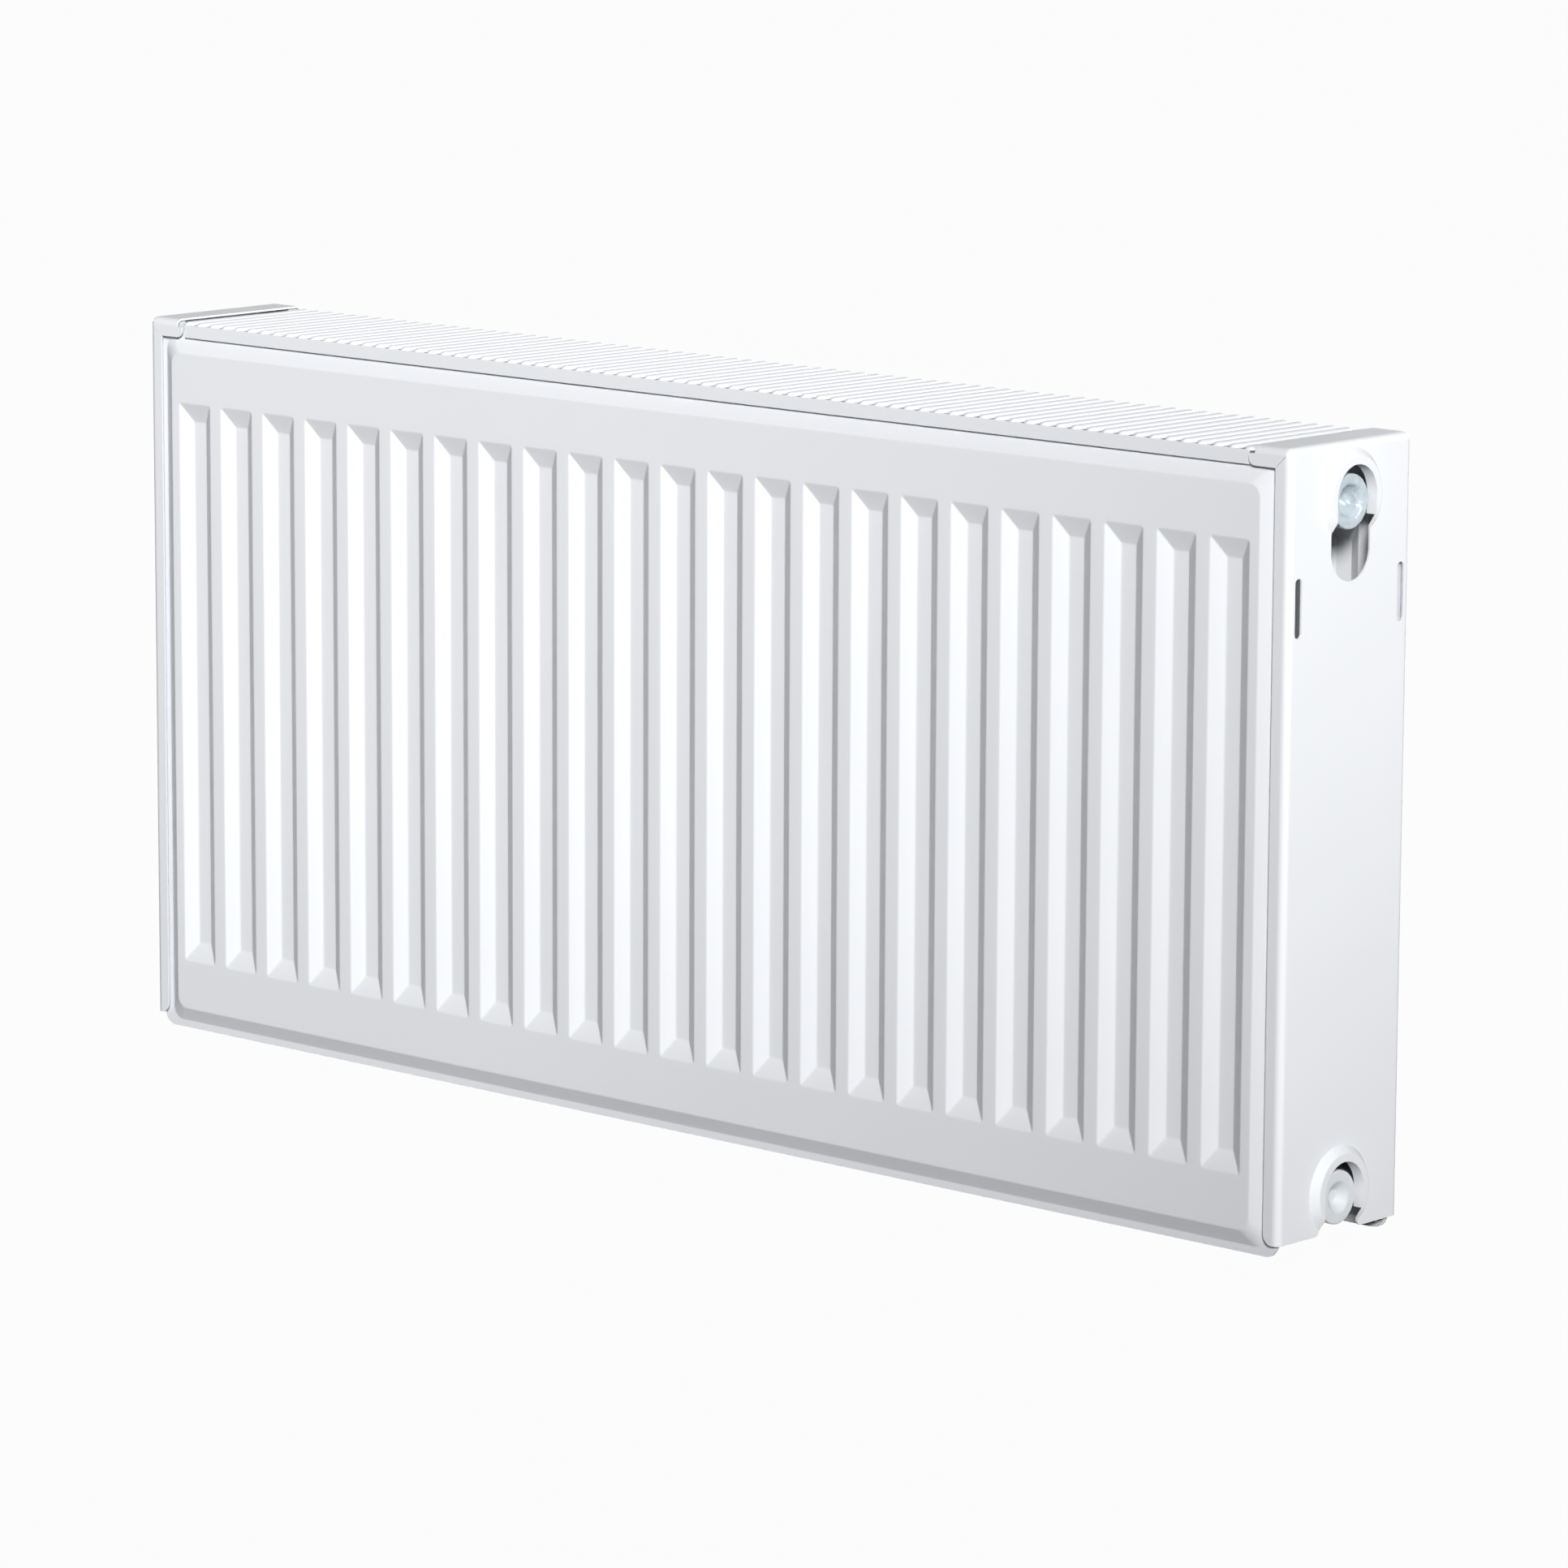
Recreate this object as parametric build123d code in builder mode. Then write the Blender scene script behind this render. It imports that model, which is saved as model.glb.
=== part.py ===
"""Double-panel, double-convector steel panel radiator with side covers, a top grille and four tappings.

X runs along the radiator, Y from the room to the wall and Z up.
The origin is on the floor, under the middle of the whole radiator.
"""
import os

from build123d import *

os.makedirs("parts", exist_ok=True)

# Overall build
channels = 24
channel_pitch = 100 / 3
panel_height = 393.5
body_depth = 96.5  # front crown to rear crown
cover_rise = 6.5  # cover tops above the panels

# Pressed panel sheets
panel_sheet = 1.2
bulge = 4.4  # crown above the welded seam
seam_border = 7.0  # flat seam beside the crown
seam_foot = 4.0  # flat seam below and above the crown
edge_slope = 8.0  # width of the slope round the crown
crown_corner = 6.0
seam_corner = 9.0
header_height = 27.5  # flat band above and below the flutes
land_width = 8.8  # flat between two flutes
flute_side_slope = 7.5
flute_end_slope = 10.5

# Convector sheets
fin_sheet = 0.5
fin_foot = 8.4  # strip welded on each water channel
fin_gap = 8.1  # between the front and rear convectors
fin_margin = 6.0  # flutes' ends to the fins' ends
bare_lands = 1  # channels without fins at each end

# Tappings, G 1/2
lower_tapping = 24.0
upper_tapping_drop = 23.5  # upper tapping below the panel's top
thread_bore = 9.32  # radius of the thread's crests
thread_length = 16.0
waterway = 8.0
socket_setback = 1.0  # socket's mouth behind the seam's end
socket_radius = 13.5
socket_chamfer = 1.0
tee_inset = 27.0  # tee axis behind the socket's mouth
tee_radius = 12.5
tee_bore = 10.5

# Transport plugs
plug_clearance = 0.05
plug_shank = 12.0
plug_flange = 13.7
plug_flange_thickness = 3.8
plug_edge = 0.9
cup_radius = 8.0
cup_depth = 10.5
cup_sides = 12
dish_depth = 2.6
dish_floor = 3.0

# Side covers
cover_sheet = 1.0
cover_gap = 2.0  # seam edge to the inside of the cover
cover_setback = 0.5  # cover behind the crown planes
cover_bottom = 7.0
cover_bend = 4.0
cover_return = 9.3  # width of the front and rear returns
return_corner = 6.0
cover_top_reach = 22.0
tab_reach = 26.0
tab_height = 10.0
tab_end = 4.0

# Collars round the tappings: two steps out of the cover's face, and a lip back inwards
collar_rise = 3.3  # collar centre above the tapping
base_radius = 23.3
ledge_outer = 21.2
ledge_height = 2.0
ledge_inner = 20.2
rim_radius = 18.6
rim_height = 3.8
lip_depth = 6.2
slot_width = 30.5
slot_drop = 27.0  # collar centre to the centre of the slot's round end
notch_corner = 3.0

# Slots in the cover's face
slot_top = 63.6  # below the cover's top
side_slot_length = 29.4
side_slot_width = 5.1
side_slot_inset = 5.2

# Cover clips
seam_clearance = 0.3
clip_width = 12.0
clip_inset = 5.0
clip_depth = 3.2
clip_wall = 2.0

# Top grille
grille_end_gap = 0.5
grille_drop = 1.0  # grille top below the cover tops
strip_gap = 0.3
strip_sheet = 1.0
strip_height = 9.0
bar_pitch = 10.0
bar_width = 6.3
bar_rise = 2.2
bar_sheet = 0.8
grille_clip_inset = 40.5  # grille's end to the middle of the outer clips
grille_clip_count = 3
grille_clip_width = 14.0
grille_clip_depth = 3.0

# Hanging lugs on the rear panel
lug_sheet = 2.0
lug_gap = 5.5
lug_span = 26.0  # inside width of the raised part
lug_foot = 8.0
lug_height = 22.0
lug_spacing = 533.0

# Planes and lines worked out from the sizes above
half_width = channels * channel_pitch / 2
overall_height = panel_height + cover_rise
lug_projection = lug_gap + lug_sheet
front_crown = -(body_depth + lug_projection) / 2
rear_crown = front_crown + body_depth
middle = front_crown + body_depth / 2
seam_front = front_crown + bulge
seam_joint = seam_front + panel_sheet
seam_back = seam_joint + panel_sheet
inner_crown = seam_back + bulge
fin_depth = middle - inner_crown - fin_gap / 2
crown_side = half_width - seam_border - edge_slope
crown_bottom = seam_foot + edge_slope
crown_top = panel_height - seam_foot - edge_slope
flute_bottom = crown_bottom + header_height
flute_top = crown_top - header_height
flute_width = channel_pitch - land_width
flute_floor = flute_width - 2 * flute_side_slope
flute_count = channels - 1
upper_tapping = panel_height - upper_tapping_drop
tapping_heights = {"upper": upper_tapping, "lower": lower_tapping}
socket_mouth = half_width - socket_setback
tee_axis = socket_mouth - tee_inset
cover_inside = half_width + cover_gap
cover_outside = cover_inside + cover_sheet
cover_front = front_crown + cover_setback
cover_rear = rear_crown - cover_setback
cover_depth = cover_rear - cover_front
grille_top = overall_height - grille_drop
strip_front = cover_front + cover_sheet + strip_gap
strip_back = strip_front + strip_sheet
grille_half = cover_outside - cover_top_reach - grille_end_gap
bar_foot = grille_top - bar_rise
grille_clip_spacing = 2 * (grille_half - grille_clip_inset) / (grille_clip_count - 1)

front_to_rear = Plane.XZ.offset(-middle)
sheet_to_sheet = Plane.XZ.offset(-seam_joint)


def facing_front(y):
    """Plane that faces the room at depth y, with X to the right and Z up."""
    return Plane.XZ.offset(-y)


def tapered_block(base_y, base, top_y, top, corner):
    """Block between two rectangles, each a width, a lowest and a highest edge."""
    with BuildPart() as block:
        for y, (width, low, high), radius in ((base_y, base, 2 * corner), (top_y, top, corner)):
            with BuildSketch(facing_front(y)):
                with Locations((0, (low + high) / 2)):
                    if corner:
                        RectangleRounded(width, high - low, radius)
                    else:
                        Rectangle(width, high - low)
        loft()
    return block.part


# Form of the pressing: a raised field with a flute between each two channels
field = tapered_block(
    seam_front,
    (2 * (crown_side + edge_slope), seam_foot, panel_height - seam_foot),
    front_crown,
    (2 * crown_side, crown_bottom, crown_top),
    crown_corner,
)
flute = tapered_block(
    front_crown,
    (flute_width, flute_bottom, flute_top),
    seam_front,
    (flute_floor, flute_bottom + flute_end_slope, flute_top - flute_end_slope),
    0,
)
with BuildPart() as pressing:
    add(field)
    with GridLocations(channel_pitch, 0, flute_count, 1):
        add(flute, mode=Mode.SUBTRACT)

# Front panel: two pressed sheets, welded back to back at the seam and in the flutes
with BuildPart() as front_panel_outer_sheet:
    with BuildSketch(facing_front(seam_joint)):
        with Locations((0, panel_height / 2)):
            RectangleRounded(2 * half_width, panel_height, seam_corner)
    extrude(amount=panel_sheet)
    add(pressing.part)
    with Locations((0, panel_sheet, 0)):
        add(pressing.part, mode=Mode.SUBTRACT)
front_panel_outer_sheet.part.label = "front_panel_outer_sheet"
export_step(front_panel_outer_sheet.part, "parts/front_panel_outer_sheet.step")

with BuildPart() as front_panel_inner_sheet:
    mirror(front_panel_outer_sheet.part, about=sheet_to_sheet)
    for height in tapping_heights.values():
        with BuildSketch(facing_front(inner_crown)):
            with Locations((-tee_axis, height), (tee_axis, height)):
                Circle(tee_bore)
        extrude(amount=inner_crown - seam_joint, mode=Mode.SUBTRACT)
front_panel_inner_sheet.part.label = "front_panel_inner_sheet"
export_step(front_panel_inner_sheet.part, "parts/front_panel_inner_sheet.step")

# Rear panel: the same pair, turned to the wall
with BuildPart() as rear_panel_outer_sheet:
    mirror(front_panel_outer_sheet.part, about=front_to_rear)
rear_panel_outer_sheet.part.label = "rear_panel_outer_sheet"
export_step(rear_panel_outer_sheet.part, "parts/rear_panel_outer_sheet.step")

with BuildPart() as rear_panel_inner_sheet:
    mirror(front_panel_inner_sheet.part, about=front_to_rear)
rear_panel_inner_sheet.part.label = "rear_panel_inner_sheet"
export_step(rear_panel_inner_sheet.part, "parts/rear_panel_inner_sheet.step")

# Convectors: folded fin sheets on the inner faces of both panels
fin_lands = channels - 2 * bare_lands
with BuildPart() as front_convector:
    with BuildSketch(Plane.XY.offset(flute_bottom + fin_margin)):
        with Locations((0, inner_crown + fin_sheet / 2)):
            with GridLocations(channel_pitch, 0, fin_lands, 1):
                Rectangle(fin_foot, fin_sheet)
        with Locations((0, inner_crown + fin_depth / 2)):
            for side in (-1, 1):
                with Locations((side * (fin_foot - fin_sheet) / 2, 0)):
                    with GridLocations(channel_pitch, 0, fin_lands, 1):
                        Rectangle(fin_sheet, fin_depth)
        with Locations((0, inner_crown + fin_depth - fin_sheet / 2)):
            with GridLocations(channel_pitch, 0, fin_lands - 1, 1):
                Rectangle(channel_pitch - fin_foot + 2 * fin_sheet, fin_sheet)
    extrude(amount=flute_top - flute_bottom - 2 * fin_margin)
front_convector.part.label = "front_convector"
export_step(front_convector.part, "parts/front_convector.step")

with BuildPart() as rear_convector:
    mirror(front_convector.part, about=front_to_rear)
rear_convector.part.label = "rear_convector"
export_step(rear_convector.part, "parts/rear_convector.step")

# Tees: each joins both panels' headers and holds a threaded socket at the end of the radiator
tee_length = 2 * (middle - inner_crown)
for level, height in tapping_heights.items():
    for side, sign in (("right", 1), ("left", -1)):
        outward = Plane(origin=(sign * tee_axis, middle, height), z_dir=(sign, 0, 0))
        across = facing_front(inner_crown + tee_length)
        with BuildPart() as tee:
            with BuildSketch(across):
                with Locations((sign * tee_axis, height)):
                    Circle(tee_radius)
            extrude(amount=tee_length)
            with BuildSketch(outward):
                Circle(socket_radius)
            extrude(amount=tee_inset)
            with BuildSketch(across):
                with Locations((sign * tee_axis, height)):
                    Circle(tee_bore)
            extrude(amount=tee_length, mode=Mode.SUBTRACT)
            with BuildSketch(outward):
                Circle(waterway)
            extrude(amount=tee_inset, mode=Mode.SUBTRACT)
            with BuildSketch(outward.offset(tee_inset)):
                Circle(thread_bore)
            extrude(amount=-thread_length, mode=Mode.SUBTRACT)
            mouth = tee.faces().filter_by(Axis.X).sort_by(Axis.X)[-1 if sign > 0 else 0]
            chamfer(mouth.inner_wires()[0].edges(), socket_chamfer)
        tee.part.label = f"{level}_{side}_tee"
        export_step(tee.part, f"parts/{level}_{side}_tee.step")

# Transport plugs in the right-hand tappings: a deep cup above and a shallow dish below
plug_shank_radius = thread_bore - plug_clearance
for level, height in tapping_heights.items():
    mouth_plane = Plane(origin=(socket_mouth, middle, height), z_dir=(1, 0, 0))
    with BuildPart() as plug:
        with BuildSketch(mouth_plane):
            Circle(plug_flange)
        extrude(amount=plug_flange_thickness)
        with BuildSketch(mouth_plane):
            Circle(plug_shank_radius)
        extrude(amount=-plug_shank)
        fillet(plug.faces().sort_by(Axis.X)[-1].edges(), plug_edge)
        outer_plane = mouth_plane.offset(plug_flange_thickness)
        if level == "upper":
            with BuildSketch(outer_plane):
                RegularPolygon(cup_radius, cup_sides, major_radius=True)
            extrude(amount=-cup_depth, mode=Mode.SUBTRACT)
        else:
            with BuildSketch(outer_plane):
                Circle(cup_radius)
            with BuildSketch(outer_plane.offset(-dish_depth)):
                Circle(dish_floor)
            loft(mode=Mode.SUBTRACT)
    plug.part.label = f"{level}_right_plug"
    export_step(plug.part, f"parts/{level}_right_plug.step")

# Right side cover: a folded sheet round the end of both panels
cover_corner_inner = cover_bend - cover_sheet
return_edge = cover_outside - cover_return
side_slot_y = cover_depth / 2 - side_slot_inset - side_slot_width / 2
collar_centres = [height + collar_rise for height in tapping_heights.values()]


def cover_outline(inner_x, outer_x, depth, corner):
    """Plan of a cover layer: a rectangle with its two outer corners rounded."""
    with BuildSketch(mode=Mode.PRIVATE) as plan:
        with Locations(((inner_x + outer_x) / 2, middle)):
            Rectangle(outer_x - inner_x, depth)
        fillet(plan.vertices().group_by(Axis.X)[-1], corner)
    return plan.sketch


def slot_outline(growth):
    """Slot for the socket: a round top at the collar's centre, straight sides and a round end."""
    with BuildSketch(mode=Mode.PRIVATE) as outline:
        with Locations((0, -slot_drop / 2)):
            SlotCenterToCenter(slot_drop, slot_width + growth, rotation=90)
    return outline.sketch


side_plane = Plane(origin=(cover_inside, middle, 0), x_dir=(0, 1, 0), z_dir=(1, 0, 0))
with BuildPart() as collar:
    with BuildSketch(Plane.XY):
        with BuildLine():
            Polyline(
                (0, base_radius),
                (ledge_height, ledge_outer),
                (ledge_height, ledge_inner),
                (rim_height, rim_radius),
                (rim_height, 0),
                (rim_height - cover_sheet, 0),
                (rim_height - cover_sheet, rim_radius),
                (ledge_height - cover_sheet, ledge_inner),
                (ledge_height - cover_sheet, ledge_outer),
                (-cover_sheet, base_radius),
                close=True,
            )
        make_face()
    revolve(axis=Axis.X)

with BuildPart() as right_side_cover:
    # Folded wall with its two returns
    with BuildSketch(Plane.XY.offset(cover_bottom)):
        add(cover_outline(return_edge, cover_outside, cover_depth, cover_bend))
        add(
            cover_outline(
                return_edge, cover_inside, cover_depth - 2 * cover_sheet, cover_corner_inner
            ),
            mode=Mode.SUBTRACT,
        )
    extrude(amount=overall_height - cover_bottom)
    with BuildSketch(facing_front(cover_rear)):
        with Locations((return_edge, cover_bottom)):
            Rectangle(return_corner, return_corner, align=(Align.MIN, Align.MIN))
        with Locations((return_edge + return_corner, cover_bottom + return_corner)):
            Circle(return_corner, mode=Mode.SUBTRACT)
    extrude(amount=cover_depth, mode=Mode.SUBTRACT)
    # Top, with a tab in front of and behind the grille
    with BuildSketch(Plane.XY.offset(overall_height)):
        add(
            cover_outline(
                cover_outside - cover_top_reach, cover_outside, cover_depth, cover_bend
            )
        )
    extrude(amount=-cover_sheet)
    for tab_back in (cover_front + cover_sheet, cover_rear):
        with BuildSketch(facing_front(tab_back)):
            with Locations((cover_outside - cover_bend, overall_height)):
                Rectangle(tab_reach - cover_bend, tab_height, align=(Align.MAX, Align.MAX))
            with Locations((cover_outside - tab_reach, overall_height - tab_height)):
                Rectangle(tab_end, tab_end, align=(Align.MIN, Align.MIN), mode=Mode.SUBTRACT)
            with Locations(
                (cover_outside - tab_reach + tab_end, overall_height - tab_height + tab_end)
            ):
                Circle(tab_end)
        extrude(amount=cover_sheet)
    # Collars
    for height in collar_centres:
        with BuildSketch(side_plane):
            with Locations((0, height)):
                Circle(base_radius)
        extrude(amount=cover_sheet, mode=Mode.SUBTRACT)
        with Locations((cover_outside, middle, height)):
            add(collar.part)
        with BuildSketch(side_plane.offset(cover_sheet + rim_height)):
            with Locations((0, height)):
                Circle(ledge_inner)
                with Locations((0, 0)):
                    add(slot_outline(2 * cover_sheet), mode=Mode.INTERSECT)
        extrude(amount=-lip_depth)
    # Slot below the upper collar, notch below the lower one
    for height in collar_centres:
        with BuildSketch(side_plane.offset(cover_sheet + rim_height)):
            with Locations((0, height)):
                add(slot_outline(0))
        extrude(amount=-lip_depth - cover_sheet, mode=Mode.SUBTRACT)
    with BuildSketch(side_plane.offset(cover_sheet + rim_height)):
        Rectangle(2 * base_radius, cover_bottom, align=(Align.CENTER, Align.MIN))
    extrude(amount=-lip_depth - cover_sheet, mode=Mode.SUBTRACT)
    notch_edges = [
        edge
        for edge in right_side_cover.edges().filter_by(Axis.X)
        if edge.center().Z < cover_bottom + cover_sheet / 2
        and abs(edge.center().Y - middle) < slot_width / 2 + cover_sheet / 2
    ]
    fillet(notch_edges, notch_corner)
    # Slots near the bends
    for side in (-1, 1):
        slot_centre = (side * side_slot_y, overall_height - slot_top - side_slot_length / 2)
        with BuildSketch(side_plane):
            with Locations(slot_centre):
                SlotOverall(side_slot_length, side_slot_width, rotation=90)
        extrude(amount=cover_sheet, mode=Mode.SUBTRACT)
right_side_cover.part.label = "right_side_cover"
export_step(right_side_cover.part, "parts/right_side_cover.step")

with BuildPart() as left_side_cover:
    mirror(right_side_cover.part, about=Plane.YZ)
left_side_cover.part.label = "left_side_cover"
export_step(left_side_cover.part, "parts/left_side_cover.step")

# Cover clips: saddles on the seam's upper edge, under the cover's top
clip_end = half_width - clip_inset
cover_underside = overall_height - cover_sheet
with BuildPart() as right_cover_clips:
    with BuildSketch(Plane.YZ.offset(clip_end)):
        with Locations((seam_front - seam_clearance - clip_wall, cover_underside)):
            Rectangle(
                seam_back - seam_front + 2 * (seam_clearance + clip_wall),
                cover_underside - panel_height + clip_depth,
                align=(Align.MIN, Align.MAX),
            )
        with Locations((seam_front - seam_clearance, panel_height)):
            Rectangle(
                seam_back - seam_front + 2 * seam_clearance,
                clip_depth,
                align=(Align.MIN, Align.MAX),
                mode=Mode.SUBTRACT,
            )
    extrude(amount=-clip_width)
    mirror(about=front_to_rear)
right_cover_clips.part.label = "right_cover_clips"
export_step(right_cover_clips.part, "parts/right_cover_clips.step")

with BuildPart() as left_cover_clips:
    mirror(right_cover_clips.part, about=Plane.YZ)
left_cover_clips.part.label = "left_cover_clips"
export_step(left_cover_clips.part, "parts/left_cover_clips.step")

# Top grille: arched bars across the radiator between a front and a rear strip
bar_count = int((2 * grille_half - bar_width) // bar_pitch) + 1
with BuildSketch() as bar_profile:
    with BuildLine():
        ThreePointArc((-bar_width / 2, 0), (0, bar_rise), (bar_width / 2, 0))
        Line((bar_width / 2, 0), (bar_width / 2 - bar_sheet, 0))
        ThreePointArc(
            (bar_width / 2 - bar_sheet, 0),
            (0, bar_rise - bar_sheet),
            (bar_sheet - bar_width / 2, 0),
        )
        Line((bar_sheet - bar_width / 2, 0), (-bar_width / 2, 0))
    make_face()
with BuildPart() as top_grille:
    with BuildSketch(facing_front(2 * middle - strip_back)):
        with Locations((0, bar_foot)):
            with GridLocations(bar_pitch, 0, bar_count, 1):
                add(bar_profile.sketch)
    extrude(amount=2 * (middle - strip_back))
    with BuildSketch(Plane.XY.offset(grille_top)):
        for y in (strip_front, 2 * middle - strip_back):
            with Locations((0, y)):
                Rectangle(2 * grille_half, strip_sheet, align=(Align.CENTER, Align.MIN))
    extrude(amount=-strip_height)
top_grille.part.label = "top_grille"
export_step(top_grille.part, "parts/top_grille.step")

# Grille clips: saddles behind the strips that sit on the seams' upper edges
with BuildPart() as grille_clips:
    with BuildSketch(Plane.YZ):
        with Locations((strip_back, bar_foot)):
            Rectangle(
                seam_back + seam_clearance + clip_wall - strip_back,
                bar_foot - panel_height + grille_clip_depth,
                align=(Align.MIN, Align.MAX),
            )
        with Locations((seam_front - seam_clearance, panel_height)):
            Rectangle(
                seam_back - seam_front + 2 * seam_clearance,
                grille_clip_depth,
                align=(Align.MIN, Align.MAX),
                mode=Mode.SUBTRACT,
            )
    saddle = extrude(amount=grille_clip_width / 2, both=True, mode=Mode.PRIVATE)
    with GridLocations(grille_clip_spacing, 0, grille_clip_count, 1):
        add(saddle)
    mirror(about=front_to_rear)
grille_clips.part.label = "grille_clips"
export_step(grille_clips.part, "parts/grille_clips.step")

# Hanging lugs: straps on the rear panel's header bands that the wall brackets hook into
header_centres = {
    "upper": crown_top - header_height / 2,
    "lower": crown_bottom + header_height / 2,
}
for level, height in header_centres.items():
    for side, sign in (("right", 1), ("left", -1)):
        with BuildPart() as lug:
            with BuildSketch(Plane.XY.offset(height - lug_height / 2)):
                with Locations((sign * lug_spacing / 2, rear_crown)):
                    Rectangle(
                        lug_span + 2 * (lug_sheet + lug_foot),
                        lug_sheet,
                        align=(Align.CENTER, Align.MIN),
                    )
                    Rectangle(
                        lug_span + 2 * lug_sheet,
                        lug_projection,
                        align=(Align.CENTER, Align.MIN),
                    )
                    Rectangle(
                        lug_span,
                        lug_gap,
                        align=(Align.CENTER, Align.MIN),
                        mode=Mode.SUBTRACT,
                    )
            extrude(amount=lug_height)
        lug.part.label = f"{level}_{side}_lug"
        export_step(lug.part, f"parts/{level}_{side}_lug.step")
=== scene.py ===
"""Panel radiator with fluted sheets, folded side covers, a barred grille and transport plugs."""
import math

import bmesh
import bpy
from bpy.props import FloatProperty, FloatVectorProperty, IntProperty, PointerProperty
from mathutils import Euler, Matrix, Vector


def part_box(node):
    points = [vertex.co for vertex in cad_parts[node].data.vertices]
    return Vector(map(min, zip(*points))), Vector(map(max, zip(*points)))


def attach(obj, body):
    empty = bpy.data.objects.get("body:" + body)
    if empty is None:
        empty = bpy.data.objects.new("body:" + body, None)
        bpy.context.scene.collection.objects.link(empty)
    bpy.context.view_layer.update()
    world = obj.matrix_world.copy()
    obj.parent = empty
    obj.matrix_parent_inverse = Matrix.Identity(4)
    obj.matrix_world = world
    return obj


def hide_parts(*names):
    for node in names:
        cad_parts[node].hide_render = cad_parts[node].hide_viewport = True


bl_info = {
    "name": "Panel Radiator",
    "version": (1, 0, 0),
    "blender": (4, 5, 0),
    "location": "3D View > Sidebar > Radiator",
    "description": "Builds a panel radiator with side covers, a top grille and tapping plugs",
    "category": "Object",
}

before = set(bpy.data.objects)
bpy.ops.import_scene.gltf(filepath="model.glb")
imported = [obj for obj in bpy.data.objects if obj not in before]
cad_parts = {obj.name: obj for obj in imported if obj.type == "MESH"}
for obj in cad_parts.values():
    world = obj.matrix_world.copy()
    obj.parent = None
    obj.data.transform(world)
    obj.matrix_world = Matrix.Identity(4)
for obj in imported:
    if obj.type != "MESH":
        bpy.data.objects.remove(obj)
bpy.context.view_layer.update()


def node_box(node):
    """Lowest and highest corner of a construction node."""
    low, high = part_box(node)
    return Vector(low), Vector(high)


sheet_low, sheet_high = node_box("front_panel_outer_sheet")
rear_sheet_high = node_box("rear_panel_outer_sheet")[1]
cover_low, cover_high = node_box("right_side_cover")
grille_low, grille_high = node_box("top_grille")
upper_plug_low, upper_plug_high = node_box("upper_right_plug")
lower_plug_low, lower_plug_high = node_box("lower_right_plug")
middle_y = (sheet_low.y + rear_sheet_high.y) / 2
upper_tapping = (upper_plug_low.z + upper_plug_high.z) / 2
lower_tapping = (lower_plug_low.z + lower_plug_high.z) / 2

TOUCH = 1e-5  # two places closer than this count as one
SQUARE_ON = 0.99  # cosine above which a face looks along an axis
COLLAR_SIDES = 64
PLUG_SIDES = 48
VENT_SIDES = 32


def length(text, metres, note):
    """Size property in metres."""
    return FloatProperty(name=text, description=note, default=metres, unit="LENGTH", precision=5)


def colour(text, red, green, blue, note):
    """Linear colour property."""
    return FloatVectorProperty(
        name=text,
        description=note,
        default=(red, green, blue),
        size=3,
        min=0,
        max=1,
        subtype="COLOR",
    )


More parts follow.
